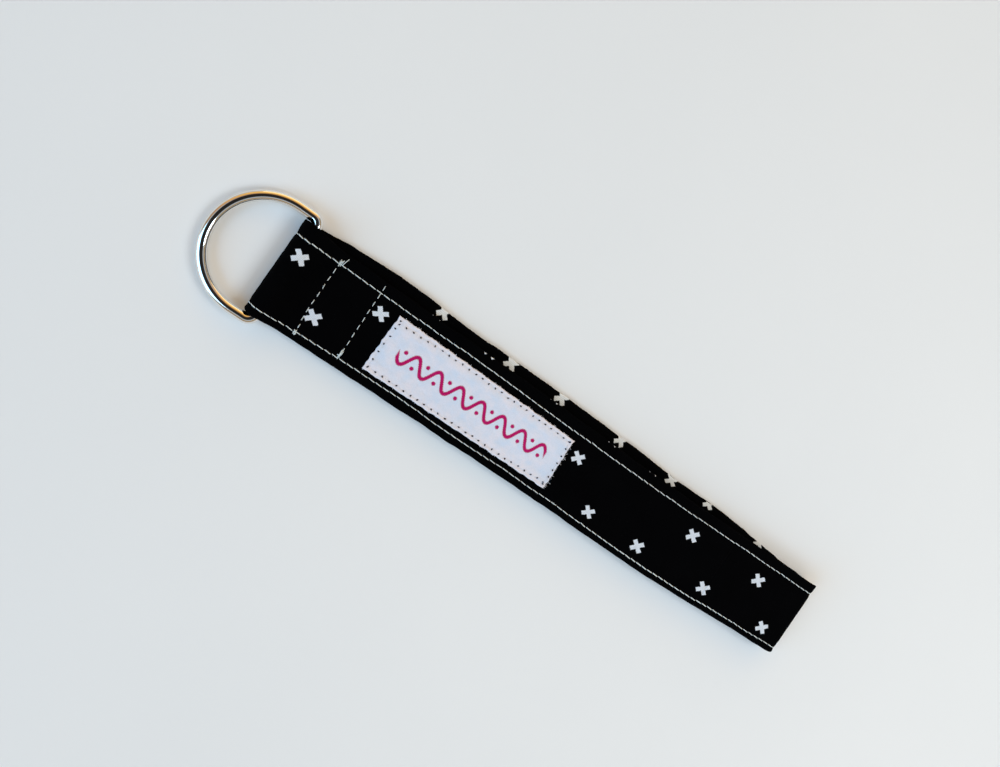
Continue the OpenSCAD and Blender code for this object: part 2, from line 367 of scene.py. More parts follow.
def new_piece(name, verts, faces, material):
    """A smooth-shaded mesh object of quads."""
    verts = np.asarray(verts, float).reshape(-1, 3)
    faces = outward(verts, np.asarray(faces))
    mesh = bpy.data.meshes.new(name)
    mesh.vertices.add(len(verts))
    mesh.vertices.foreach_set("co", verts.astype(np.float32).ravel())
    mesh.loops.add(len(faces) * 4)
    mesh.loops.foreach_set("vertex_index", faces.astype(np.int32).ravel())
    mesh.polygons.add(len(faces))
    mesh.polygons.foreach_set("loop_start", np.arange(len(faces), dtype=np.int32) * 4)
    mesh.update(calc_edges=True)
    mesh.polygons.foreach_set("use_smooth", np.ones(len(faces), bool))
    mesh.materials.append(material)
    return new_object(name, mesh), faces


def add_vector(piece, name, values, domain):
    """Keeps a vector on each point or corner, for the materials."""
    layer = piece.data.attributes.new(name, "FLOAT_VECTOR", domain)
    layer.data.foreach_set("vector", np.asarray(values, np.float32).ravel())


def there_and_back(a, b):
    """Rows that run along a's and back along b's."""
    return np.concatenate([a, b[:, ::-1]], axis=1)


def stations_between(a, b, step):
    return np.linspace(a, b, max(2, int(round(abs(b - a) / step)) + 1))


# ---- the folded section of the strap ----

def fold_section():
    """The middle line of the cloth across the strap, folded in four, as (y, h): raw edge,
    inner layer, fold, outer face, closed fold, inner face, fold, inner layer, raw edge."""
    outer_h = run_t - LAYER_T / 2
    outer_in_h = outer_h - LAYER_T - LAYER_GAP
    inner_h = LAYER_T / 2
    inner_in_h = inner_h + LAYER_T + LAYER_GAP
    small_r = (outer_h - outer_in_h) / 2
    open_c = half_w - LAYER_T / 2 - small_r
    closed_r = (outer_h - inner_h) / 2
    closed_c = LAYER_T / 2 + CLOSED_REACH - half_w
    raw_y = closed_line - RAW_EDGE_IN
    layer = np.linspace(raw_y, open_c, 16)
    face = np.linspace(open_c, closed_c, 47)
    turn = np.linspace(-math.pi / 2, math.pi / 2, 7)[:-1]
    closed = np.linspace(math.pi / 2, 1.5 * math.pi, 9)[1:-1]
    small_y, small_h = open_c + small_r * np.cos(turn), small_r * np.sin(turn)
    return np.stack(list(joined([
        (layer[:-1], outer_in_h + 0 * layer[:-1]),
        (small_y, (outer_h + outer_in_h) / 2 + small_h),
        (face, outer_h + 0 * face),
        (closed_c + CLOSED_REACH * np.cos(closed), run_t / 2 + closed_r * np.sin(closed)),
        (face[::-1], inner_h + 0 * face),
        (small_y[1:], (inner_h + inner_in_h) / 2 + small_h[1:]),
        (layer[::-1], inner_in_h + 0 * layer),
    ])), axis=1)


def thicken(line, thickness):
    """The closed ring round a line: one side out and the other side back."""
    t = np.gradient(line, axis=0)
    t = t / np.linalg.norm(t, axis=1)[:, None]
    n = np.stack([-t[:, 1], t[:, 0]], axis=1) * thickness / 2
    return np.concatenate([line + n, (line - n)[::-1]])


section_line = fold_section()
section = thicken(section_line, LAYER_T)
section_q = np.linalg.norm(np.diff(section_line, axis=0), axis=1)
section_q = np.append(0, np.cumsum(section_q))
OUTER_FACE = slice(21, 68)  # its points in the section
face_y, face_q = section_line[OUTER_FACE, 0], section_q[OUTER_FACE]
section_q = np.interp(0, face_y[::-1], face_q[::-1]) - section_q
STRIP_W = float(section_q.max() - section_q.min())
inner_face_q = 2 * float(section_q[np.argmin(section_line[:, 0])])


# ---- the printed crosses ----

# On the upper run's top: distance from the nose and from the middle, in mm
TOP_CROSSES = [
    (3.7, 5.2), (14.4, -4.9), (27.3, 5.1), (39.2, 14.0), (44, -5), (56.2, 13.7), (62, 2),
    (78.2, 13.8), (93.1, 3.8), (99.2, 13.9), (104.7, -6.7), (114.6, 13.8), (123.4, -7.0),
    (136.4, 4.3), (149.3, -6.9), (163.6, 4.0), (174.2, -7.2),
]
# On the lower run's inner face, half hidden under the upper run's edge
BAND_CROSSES = [
    (13.4, 15.3), (40.4, 12.0), (63, 11.5), (80.4, 11.7), (102.2, 11.8), (122.8, 11.4), (137.6, 12.1),
    (160.1, 12.3),
]
CROSS_L = 2.01 * MM  # half the length of a cross's arms
CROSS_W = 0.605 * MM  # half their width
CROSS_TURN = math.radians(49)  # how the crosses stand to the strap
CROSS_TURN_SPREAD = 0.12  # in radians
CROSS_SIZES = (0.95, 1.06)
REAR_GROWTH = 0.1  # how much larger the rear crosses of the upper run are
CROSS_STRETCH = 1.08  # longer along the strap, and narrower across it
CROSS_PITCH = (12.5 * MM, 11.5 * MM)
CROSS_APART = 9.5 * MM  # between a scattered cross and the listed ones
CROSS_CLEAR = 12 * MM  # no scattered cross this soon after the top of the nose


def scattered_crosses(draw):
    """Staggered rows over the rest of the strip: (s, q)."""
    out = []
    rows = np.arange(-STRIP_W, STRIP_W, CROSS_PITCH[1])
    for row, q in enumerate(rows):
        shift = (row % 2) * CROSS_PITCH[0]
        for s in np.arange(shift, whole_s, 2 * CROSS_PITCH[0]):
            out.append((s + draw.uniform(-2, 2) * MM, q + draw.uniform(-1.6, 1.6) * MM))
    return out


def cross_list():
    """Every printed cross as (s, q, turn, size)."""
    draw = np.random.default_rng(5)
    listed = []
    for x, y in TOP_CROSSES:
        x = nose_x + x * MM
        listed.append((s_at(x, 0 if x < head_end_x else 4), y * MM))
    for x, y in BAND_CROSSES:
        listed.append((s_at(nose_x + x * MM, 2), inner_face_q - y * MM))
    lower_start = nose_s[0] + CROSS_CLEAR
    for s, q in scattered_crosses(draw):
        on_lower = lower_start < s < fold_s
        on_top = abs(q) < half_w + CROSS_L and not on_lower
        on_band = abs(q - inner_face_q) > half_w - CROSS_L if q > half_w else abs(q) > half_w
        near = min(math.hypot(s - a, q - b) for a, b in listed)
        if near > CROSS_APART and not on_top and not on_band:
            listed.append((s, q))
    turns = CROSS_TURN + draw.uniform(-CROSS_TURN_SPREAD, CROSS_TURN_SPREAD, len(listed))
    sizes = draw.uniform(*CROSS_SIZES, len(listed))
    s = np.array(listed)[:, 0]
    past_fold = smooth((s - fold_s) / (10 * MM))
    before_split = smooth((upper_split_s + 20 * MM - s) / (20 * MM))
    return np.column_stack([listed, turns, sizes * (1 + REAR_GROWTH * past_fold * before_split)])


crosses = cross_list()
AT_ONCE = 20000  # quads that are compared with all the crosses at a time


def print_offsets(s, q):
    """Each quad corner's place in the nearest cross's own axes, in millimetres."""
    out = np.empty((len(s), 4, 3))
    for part in np.array_split(np.arange(len(s)), len(s) // AT_ONCE + 1):
        ds = s[part].mean(1)[:, None] - crosses[None, :, 0]
        dq = q[part].mean(1)[:, None] - crosses[None, :, 1]
        near = crosses[np.argmin(ds ** 2 + dq ** 2, axis=1)]
        ds = (s[part] - near[:, 0:1]) / CROSS_STRETCH
        dq = (q[part] - near[:, 1:2]) * CROSS_STRETCH
        c, n = np.cos(near[:, 2:3]), np.sin(near[:, 2:3])
        out[part, :, 0] = (c * ds + n * dq) / near[:, 3:4] / MM
        out[part, :, 1] = (c * dq - n * ds) / near[:, 3:4] / MM
        out[part, :, 2] = near[:, 2:3] * 40
    return out


# ---- node trees ----

class Nodes:
    """A short way to write the node tree of a material or a world."""

    def __init__(self, name, kind="materials"):
        self.owner = getattr(bpy.data, kind).new(name)
        self.owner.use_nodes = True
        self.tree = self.owner.node_tree

    def add(self, kind, inputs=None, **settings):
        node = self.tree.nodes.new(kind)
        for key, value in settings.items():
            setattr(node, key, value)
        for key, value in (inputs or {}).items():
            self.feed(node.inputs[key], value)
        return node

    def feed(self, socket, value):
        if isinstance(value, bpy.types.NodeSocket):
            self.tree.links.new(value, socket)
        elif socket.type == "RGBA":
            socket.default_value = (*value, 1.0)
        else:
            socket.default_value = value

    def math(self, operation, *values):
        node = self.add("ShaderNodeMath", operation=operation)
        for socket, value in zip(node.inputs, values, strict=False):
            self.feed(socket, value)
        return node.outputs[0]

    def times(self, a, b):
        return self.math("MULTIPLY", a, b)

    def plus(self, a, b):
        return self.math("ADD", a, b)

    def minus(self, a, b):
        return self.math("SUBTRACT", a, b)

    def attribute(self, name):
        return self.add("ShaderNodeAttribute", attribute_name=name).outputs["Vector"]

    def split(self, vector):
        return self.add("ShaderNodeSeparateXYZ", {0: vector}).outputs

    def noise(self, vector, scale, detail=2.0):
        node = self.add("ShaderNodeTexNoise", {"Vector": vector, "Scale": scale, "Detail": detail})
        return node.outputs["Fac"]

    def span(self, value, low, high, to_low=0.0, to_high=1.0):
        node = self.add("ShaderNodeMapRange", {
            "Value": value, "From Min": low, "From Max": high,
            "To Min": to_low, "To Max": to_high,
        })
        return node.outputs[0]

    def mix(self, factor, a, b, how="MIX"):
        node = self.add(
            "ShaderNodeMix", {"Factor": factor, 6: a, 7: b}, data_type="RGBA", blend_type=how,
        )
        return node.outputs[2]

    def ramp(self, value, stops):
        """A colour ramp over a value, with stops of (position, colour)."""
        node = self.add("ShaderNodeValToRGB", {0: value})
        elements = node.color_ramp.elements
        while len(elements) > 1:
            elements.remove(elements[-1])
        elements[0].position, elements[0].color = stops[0][0], (*stops[0][1], 1.0)
        for position, colour in stops[1:]:
            elements.new(position).color = (*colour, 1.0)
        return node.outputs[0]

    def weave(self, strip, pitch):
        """Plain weave on (along, across) in mm: the height of the yarn that is on top."""
        x, y, _ = self.split(strip)
        u = self.math("SINE", self.times(x, math.pi / pitch))
        v = self.math("SINE", self.times(y, math.pi / pitch))
        side = self.span(self.times(u, v), -0.25, 0.25)
        warp, weft = self.math("ABSOLUTE", u), self.math("ABSOLUTE", v)
        blend = self.add("ShaderNodeMix", {0: side, 2: warp, 3: weft}, data_type="FLOAT")
        return blend.outputs[0]

    def surface(self, colour, roughness, relief, depth, strength=1.0, constants=None):
        """Wires up the shader, with constants by socket name, and gives the material."""
        bump = self.add("ShaderNodeBump", {
            "Height": relief, "Distance": depth, "Strength": strength,
        })
        given = {"Base Color": colour, "Roughness": roughness, "Normal": bump.outputs[0]}
        shader = self.tree.nodes["Principled BSDF"]
        for name, value in (given | (constants or {})).items():
            self.feed(shader.inputs[name], value)
        return self.owner


# Sizes of the weaves and of the print's edge, in millimetres
COTTON_YARN = 0.37
LABEL_YARN = 0.22  # it also steps the ornament's edge
INK_ROUGH = 0.34
INK_SOFT = 0.05


def cloth_material():
    """Black plain-woven cotton, with small rough-edged white crosses; painted light brightens those in
    the upper run's shade.
    """
    n = Nodes("printed_cotton")
    strip = n.attribute("strip")
    offset = n.attribute("print_offset")
    yarns = n.weave(strip, COTTON_YARN)
    x, y, _ = n.split(offset)
    ragged = n.times(n.minus(n.noise(offset, 2.2, 3.0), 0.5), INK_ROUGH)
    x = n.plus(n.math("ABSOLUTE", x), ragged)
    y = n.plus(n.math("ABSOLUTE", y), ragged)
    arm, wide = CROSS_L / MM, CROSS_W / MM
    one = n.math("MAXIMUM", n.minus(x, arm), n.minus(y, wide))
    two = n.math("MAXIMUM", n.minus(y, arm), n.minus(x, wide))
    ink = n.span(n.math("MINIMUM", one, two), INK_SOFT, -INK_SOFT)
    cover = n.times(ink, n.span(yarns, 0.15, 0.55, 0.72, 1.0))
    patch = n.noise(strip, 0.12, 3.0)
    black = n.mix(patch, (0.0004, 0.0004, 0.0006), (0.0012, 0.0012, 0.0016))
    lint = n.span(n.noise(strip, 3.1, 1.0), 0.75, 0.78, 0.0, 0.03)
    black = n.mix(lint, black, (0.3, 0.3, 0.32))
    grain = n.noise(strip, 1.4)
    # Painted light: crosses beyond the upper run's top face, in its shade on the lower run, get
    # brighter, more neutral ink.
    top_ink = n.mix(grain, (0.62, 0.67, 0.74), (0.76, 0.81, 0.88))
    band_ink_painted_light = n.mix(grain, (0.73, 0.74, 0.73), (0.83, 0.86, 0.86))
    from_middle = n.math("ABSOLUTE", n.split(strip)[1])
    inside = n.span(from_middle, half_w / MM - 0.4, half_w / MM + 0.6)
    height = n.plus(n.times(yarns, 0.8), n.times(n.noise(strip, 5.0, 3.0), 0.35))
    return n.surface(
        n.mix(cover, black, n.mix(inside, top_ink, band_ink_painted_light)), n.span(ink, 0, 1, 0.92, 0.78),
        height, 0.05 * MM,
        constants={"Specular IOR Level": 0.02, "Sheen Weight": 0.002, "Sheen Roughness": 0.5},
    )


def thread_material(name, pale, dark):
    """Two-ply sewing thread, its plies winding round it, with painted shade in the grooves between them.
    """
    n = Nodes(name)
    strand = n.attribute("strand")
    x, y, _ = n.split(strand)
    plies = n.math("SINE", n.plus(n.times(x, 9.0), n.times(y, 2.0)))
    # Painted shade: the colour goes to dark where the plies' relief is lowest, in the grooves between
    # them.
    colour = n.mix(n.span(plies, -1.0, -0.3), dark, pale)
    soiled = n.span(n.noise(strand, 1.1), 0.3, 0.7, 0.0, 0.25)
    return n.surface(
        n.mix(soiled, colour, dark), n.span(plies, -1, 1, 0.75, 0.5), plies, 0.03 * MM,
        constants={"Sheen Weight": 0.15 * pale[0], "Specular IOR Level": 0.5 * pale[0]},
    )


def ring_material():
    """Bright nickel plate on drawn wire, with fine rubbing marks."""
    n = Nodes("nickel_plate")
    at = n.add("ShaderNodeTexCoord").outputs["Object"]
    marks = n.noise(at, 900.0, 6.0)
    tint = n.mix(n.noise(at, 160.0, 3.0), (0.83, 0.80, 0.75), (0.90, 0.88, 0.85))
    roughness = n.span(marks, 0.3, 0.75, 0.04, 0.13)
    return n.surface(tint, roughness, marks, 0.006 * MM, 0.5, {"Metallic": 1.0})


def stiffener_material():
    """Pale bonded fleece: short fibres lying every way."""
    n = Nodes("bonded_fleece")
    fibres = n.noise(n.attribute("strip"), 6.0, 5.0)
    colour = n.mix(fibres, (0.62, 0.60, 0.55), (0.80, 0.79, 0.75))
    return n.surface(colour, n.span(fibres, 0, 1, 0.95, 0.85), fibres, 0.06 * MM)


# The label's ornament: a wavy line with a dot in each hollow, in millimetres
WAVE_END = 5.0  # from the label's ends
WAVE_PITCH = 6.9
WAVE_AMPLITUDE = 2.0
LINE_W = 0.47  # half the line's width
DOT_R = 0.55
DOT_ASIDE = 1.25  # of the dots from the label's middle line
MOTIF_SOFT = 0.06


def ornament(n, x, y):
    """1 in the ornament and 0 outside it, at x along and y across the label."""
    x = n.times(n.math("ROUND", n.math("DIVIDE", x, LABEL_YARN)), LABEL_YARN)
    y = n.times(n.math("ROUND", n.math("DIVIDE", y, LABEL_YARN)), LABEL_YARN)
    angle = n.times(x, 2 * math.pi / WAVE_PITCH)
    centre = n.times(n.math("SINE", angle), WAVE_AMPLITUDE)
    slope = n.times(n.math("COSINE", angle), 2 * math.pi * WAVE_AMPLITUDE / WAVE_PITCH)
    steep = n.math("SQRT", n.plus(n.times(slope, slope), 1.0))
    away = n.math("DIVIDE", n.math("ABSOLUTE", n.minus(y, centre)), steep)
    # A dot stands on the far side of the middle from each crest
    half_pitch = WAVE_PITCH / 2
    cell = n.math("ROUND", n.minus(n.math("DIVIDE", x, half_pitch), 0.5))
    dot_x = n.minus(x, n.times(n.plus(cell, 0.5), half_pitch))
    side = n.math("COSINE", n.times(cell, math.pi))
    dot_y = n.plus(y, n.times(side, DOT_ASIDE))
    reach = n.math("SQRT", n.plus(n.times(dot_x, dot_x), n.times(dot_y, dot_y)))
    shape = n.math("MINIMUM", n.minus(away, LINE_W), n.minus(reach, DOT_R))
    past_end = n.minus(n.math("ABSOLUTE", x), label_half_l / MM - WAVE_END)
    return n.span(n.math("MAXIMUM", shape, past_end), MOTIF_SOFT, -MOTIF_SOFT)


def label_material():
    """Pale damask-woven label, with its ornament woven in magenta."""
    n = Nodes("woven_label")
    strip = n.attribute("strip")
    x, y, _ = n.split(strip)
    motif = ornament(n, x, y)
    yarns = n.weave(strip, LABEL_YARN)
    cloud = n.span(n.noise(strip, 0.28, 3.0), 0.35, 0.65)
    pale = n.mix(cloud, (0.66, 0.75, 0.90), (0.80, 0.79, 0.88))
    hem = n.times(n.span(n.math("ABSOLUTE", y), 4.6, 6.9), n.noise(strip, 0.9))
    pale = n.mix(hem, pale, (0.90, 0.78, 0.76))
    speckle = n.times(n.span(n.noise(strip, 2.6, 3.0), 0.3, 0.7), 0.3)
    pale = n.mix(speckle, pale, (0.56, 0.60, 0.70))
    # Painted shade: the pale yarns darken to blue-grey where the weave's relief is low, between the
    # yarns.
    pale = n.mix(n.span(yarns, 0.0, 0.6, 0.22, 0.0), pale, (0.38, 0.42, 0.52))
    magenta = n.mix(n.noise(strip, 1.9), (0.30, 0.0, 0.06), (0.62, 0.002, 0.16))
    ribs = n.math("SINE", n.times(x, math.pi / LABEL_YARN))
    height = n.plus(n.times(yarns, 0.5), n.times(motif, 1.2))
    return n.surface(
        n.mix(motif, pale, magenta), n.span(yarns, 0, 1, 0.85, 0.6),
        n.plus(height, n.times(ribs, 0.15)), 0.04 * MM,
        constants={"Specular IOR Level": 0.15, "Sheen Weight": 0.02},
    )


def floor_material():
    """A pale smooth table cloth with a faint weave."""
    n = Nodes("pale_ground")
    at = n.add("ShaderNodeTexCoord").outputs["Object"]
    grain = n.noise(at, 1500.0, 2.0)
    colour = n.mix(n.noise(at, 9.0, 3.0), (0.80, 0.81, 0.815), (0.85, 0.855, 0.855))
    return n.surface(colour, n.span(grain, 0, 1, 0.9, 0.8), grain, 0.05 * MM, 0.3)


cotton = cloth_material()
fleece = stiffener_material()
top_thread = thread_material("topstitch_thread", (0.79, 0.85, 0.84), (0.54, 0.58, 0.57))
label_thread = thread_material("label_thread", (0.76, 0.79, 0.87), (0.62, 0.65, 0.74))
hole_thread = thread_material("dark_thread", (0.012, 0.012, 0.03), (0.002, 0.002, 0.006))
label_cloth = label_material()
nickel = ring_material()


# ---- the cloth and its stiffener, in three stretches ----

STRETCHES = {
    "front": (0.0, lower_split_s),
    "loop_end": (lower_split_s, upper_split_s),
    "upper": (upper_split_s, whole_s),
}
# The CAD's names for the runs in each stretch
RUNS = {"front": ["front"], "loop_end": ["lower_rear", "upper_rear"], "upper": ["upper_front"]}
FLEECE_IN = 0.52 * MM  # how far the fleece lies under both faces


def bend_stretch(piece, stretch):
    """Bakes a piece's placement into its mesh, the same for every stretch."""
    if stretch == "front":
        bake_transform(piece)
    elif stretch == "loop_end":
        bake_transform(piece)
    else:
        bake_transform(piece)


def tongue_shape(s, h):
    """Rounds the upper run's front end, inside the sewn stretch."""
    into = np.clip((s - head_back_s) / TONGUE, 0, 1)
    depth = (run_t - h) * np.sqrt(1 - 0.9 * into ** 2)
    return run_t - depth - 0.1 * MM * smooth(into * 3)


def sweep_section(name, stretch, ring, ring_q, material):
    """A closed ring of (y, h) carried along one stretch of the strip."""
    a, b = STRETCHES[stretch]
    s = stations_between(a, b, STATION)[:, None]
    y, h = ring[None, :, 0], ring[None, :, 1]
    narrow = 1 - 0.012 * smooth((s - head_back_s) / (0.3 * MM))
    verts = place(s, y * narrow, tongue_shape(s, h))
    faces = sweep_faces(len(s), len(ring), strip_cap(len(ring)))
    piece, faces = new_piece(name, verts, faces, material)
    grid_s = np.broadcast_to(s, verts.shape[:2]).ravel()
    grid_q = np.broadcast_to(ring_q, verts.shape[:2]).ravel()
    strip = np.stack([grid_s / MM, grid_q / MM, np.zeros(len(grid_s))], axis=1)
    add_vector(piece, "strip", strip, "POINT")
    return piece, grid_s[faces], grid_q[faces]


def strap_cloth(name, stretch, nodes):
    """One stretch of the folded cotton, with its print."""
    ring_q = np.append(section_q, section_q[::-1])
    piece, s, q = sweep_section(name, stretch, section, ring_q, cotton)
    add_vector(piece, "print_offset", print_offsets(s, q), "CORNER")
    bend_stretch(piece, stretch)
    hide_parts(*nodes)


def stiffener(name, stretch, nodes):
    """One stretch of the fleece inside the fold."""
    across = np.linspace(core_low.y, core_high.y, 34) - upper_y
    ring_y = np.append(across, across[::-1])
    ring_h = np.repeat([run_t - FLEECE_IN, FLEECE_IN], len(across))
    ring = np.stack([ring_y, ring_h], axis=1)
    piece, _, _ = sweep_section(name, stretch, ring, ring_y, fleece)
    bend_stretch(piece, stretch)
    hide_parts(*nodes)


strap_cloth("strap_cloth_front", "front", ["strap_nose", "strap_sewn_upper", "strap_lower_front"])
strap_cloth("strap_cloth_loop_end", "loop_end", [
    "strap_lower_rear", "strap_loop_end", "strap_upper_rear",
])
strap_cloth("strap_cloth_upper", "upper", ["strap_upper_front"])
for stretch, runs in RUNS.items():
    stiffener(f"stiffener_fleece_{stretch}", stretch, [f"stiffener_{run}" for run in runs])


# ---- threads ----

SIDES = 8
ROUND_CAP = [(0, 1, 2, 3), (0, 3, 4, 7), (4, 5, 6, 7)]  # of an eight-sided ring
THREAD_FLAT = 0.85  # a thread's height to its width
around = np.arange(SIDES) * 2 * math.pi / SIDES


def strands(name, s, y, h, r, material, where=place):
    """Many short threads in one piece. s, y and h hold one row of points a thread, and
    where places them."""
    side = np.stack([np.cos(around), THREAD_FLAT * np.sin(around)], axis=1)
    r = np.broadcast_to(r, s.shape)
    tall = r[..., None] * side[:, 1]
    wide = r[..., None] * side[:, 0]
    ds, dy = np.gradient(s, axis=1), np.gradient(y, axis=1)
    size = np.maximum(np.hypot(ds, dy), 1e-9)
    verts = where(
        s[..., None] - wide * (dy / size)[..., None],
        y[..., None] + wide * (ds / size)[..., None],
        h[..., None] + tall,
    )
    count, points = s.shape
    one = sweep_faces(points, SIDES, ROUND_CAP)
    faces = (np.arange(count)[:, None, None] * points * SIDES + one[None]).reshape(-1, 4)
    piece, faces = new_piece(name, verts, faces, material)
    along = np.cumsum(np.pad(size[:, 1:], ((0, 0), (1, 0))), axis=1) / MM
    along = np.broadcast_to(along[..., None], verts.shape[:3]).ravel()
    turn = np.broadcast_to(around, verts.shape[:3]).ravel()
    corner_turn = turn[faces]
    wraps = (corner_turn.max(1) - corner_turn.min(1) > math.pi)[:, None] & (corner_turn < 1)
    corner_turn = corner_turn + wraps * 2 * math.pi
    strand = np.stack([along[faces], corner_turn, np.zeros_like(corner_turn)], axis=-1)
    add_vector(piece, "strand", strand, "CORNER")
    return piece


STITCH_SHAPE = np.linspace(0, 1, 9)
THREAD_R = 0.122 * MM
STITCH_SUNK = 0.17 * MM  # how deep its ends go into the cloth
STITCH_PROUD = {1: 0.06 * MM, -1: -0.05 * MM}  # on the outer face, and on the inner
STITCH_OVERLAP = 0.09 * MM  # of each end with the next stitch
STITCH_SLANT = 0.08 * MM
STITCH_JITTER = 0.03 * MM


def stitch_rows(starts, ends, y0, y1, face_h, sign, sunk, proud):
    """Rows for strands(): one stitch between each start and end, sunk at both."""
    s = starts[:, None] + (ends - starts)[:, None] * STITCH_SHAPE
    y = y0[:, None] + (y1 - y0)[:, None] * STITCH_SHAPE
    arc = (sunk + proud) * np.sin(math.pi * STITCH_SHAPE) ** 0.3 - sunk
    h = face_h + sign * arc + 0 * s
    return s, y, h


def topstitch(name, stretch, line_at, nodes, seed):
    """Both faces' threads of one row of topstitching along one stretch."""
    a, b = STRETCHES[stretch]
    draw = np.random.default_rng(seed)
    first = math.ceil(a / STITCH - 0.01)
    last = math.floor(min(b, head_back_s) / STITCH + 0.01)
    k = np.arange(first, last + (stretch != "upper"))
    k = k[(k + 0.5) * STITCH < b]
    rows = []
    for face_h, sign in ((run_t, 1), (0.0, -1)):
        slant = (STITCH_SLANT + draw.normal(0, STITCH_JITTER, len(k))) * sign
        centre = line_at((k + 0.5) * STITCH) + draw.normal(0, STITCH_JITTER, len(k))
        starts = k * STITCH - STITCH_OVERLAP + draw.normal(0, STITCH_JITTER, len(k))
        ends = (k + 1) * STITCH + STITCH_OVERLAP + draw.normal(0, STITCH_JITTER, len(k))
        rows.append(stitch_rows(
            starts, ends, centre - slant, centre + slant, face_h, sign,
            STITCH_SUNK, STITCH_PROUD[sign],
        ))
    radius = THREAD_R * (0.8 + 0.2 * np.sin(math.pi * STITCH_SHAPE) ** 0.5)
    piece = strands(name, *joined(rows), radius, top_thread)
    bend_stretch(piece, stretch)
    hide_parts(*nodes)


for i, (side, line) in enumerate((("open", open_at), ("closed", closed_at))):
    for j, (stretch, runs) in enumerate(RUNS.items()):
        nodes = [f"topstitch_{side}_{run}" for run in runs]
        topstitch(f"topstitch_{side}_{stretch}_thread", stretch, line, nodes, 31 + 10 * j + i)

CROSS_STITCH = 2.3 * MM
CROSS_SHOWN = 0.74  # the part of each stitch's pitch that its thread covers
CROSS_THREAD_R = 0.1 * MM
CROSS_SUNK = 0.26 * MM
CROSS_PROUD = {0: 0.05 * MM, 2: -0.04 * MM}  # on the upper run, and on the underside
CROSS_SLANT = 0.1 * MM
CROSS_JITTER = 0.05 * MM
KNOT_PILE = (0.02 * MM, 0.26 * MM)  # heights of a knot's lowest and highest threads
KNOT_ARCH = 0.16 * MM
KNOT_TUCK = 0.1 * MM


def knot_rows(s, y, draw, length, spread, count):
    """Short crossing threads that pile up where a seam is sewn back and forth."""
    turn = draw.normal(math.pi / 2, 0.5, count)
    reach = length * draw.uniform(0.7, 1.1, count) / 2
    cs = s + draw.uniform(-spread, spread, count)
    cy = y + draw.uniform(-spread, spread, count)
    u = STITCH_SHAPE * 2 - 1
    rows_s = cs[:, None] + (reach * np.cos(turn))[:, None] * u
    rows_y = cy[:, None] + (reach * np.sin(turn))[:, None] * u
    level = np.linspace(*KNOT_PILE, count)[:, None]
    rows_h = run_t + level + KNOT_ARCH * (1 - u ** 2) - KNOT_TUCK * u ** 4
    return rows_s, rows_y, rows_h


def tail_rows(s, y):
    """A loose end of thread, curling across the upper run."""
    u = STITCH_SHAPE[None, :]
    rows_s = s - (0.8 + 0.5 * u) * MM
    rows_y = y + (0.1 + 2.0 * u + 0.12 * np.sin(3 * u)) * MM
    return rows_s, rows_y, run_t + (0.15 + 0.2 * np.sin(2.6 * u)) * MM


def cross_seam(name, x, slope, bow, top_y, bottom_y, knots, tail, node, seed):
    """A line of stitching across both runs, that leans by slope and bows by bow. Each knot
    is (how far behind the line, where across, its threads' length, spread and count)."""
    draw = np.random.default_rng(seed)
    rows = []
    for run, mid in ((0, upper_y), (2, lower_y)):
        y = np.arange(top_y, bottom_y, -CROSS_STITCH)
        low_y = np.maximum(y - CROSS_SHOWN * CROSS_STITCH, bottom_y)
        shift = mid - upper_y
        way = 1 if run == 0 else -1
        down = (top_y - y) / (top_y - bottom_y)
        lean = way * (slope * (y / half_w) + bow * np.sin(math.pi * down ** 1.5))
        line = s_at(x, run) + lean
        starts = line + draw.normal(0, CROSS_JITTER, len(y))
        ends = line - way * CROSS_SLANT + draw.normal(0, CROSS_JITTER, len(y))
        rows.append(stitch_rows(
            starts, ends, y - shift, low_y - shift, run_t, 1, CROSS_SUNK, CROSS_PROUD[run],
        ))
    for ahead, knot_y, length, spread, count in knots:
        knot_s = s_at(x, 0) + slope * knot_y / half_w - ahead
        rows.append(knot_rows(knot_s, knot_y, draw, length, spread, count))
    if tail:
        rows.append(tail_rows(s_at(x, 0) + slope / 2, tail))
    piece = strands(name, *joined(rows), CROSS_THREAD_R, top_thread)
    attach(piece, "strap_base")
    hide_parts(node)


cross_seam(
    "cross_seam_front", cross_xs[0], cross_leans[0], 0.42 * MM,
    open_line - 1.2 * MM, closed_line + 1.2 * MM,
    [
        (0.4 * MM, open_line + 0.3 * MM, 1.6 * MM, 0.3 * MM, 6),
        (-0.2 * MM, closed_line + 0.1 * MM, 1.3 * MM, 0.25 * MM, 6),
    ],
    open_line + 0.1 * MM, "cross_stitch_front", 61,
)
cross_seam(
    "cross_seam_rear", cross_xs[1], cross_leans[1], 0.0,
    open_line + 2.2 * MM, closed_line + 2.4 * MM,
    [(0.0, closed_line + 1.7 * MM, 2.2 * MM, 0.22 * MM, 7)],
    None, "cross_stitch_rear", 62,
)


# ---- the seam between the two runs ----

FLAP_IN = 0.03 * MM  # of its faces, inside the CAD's

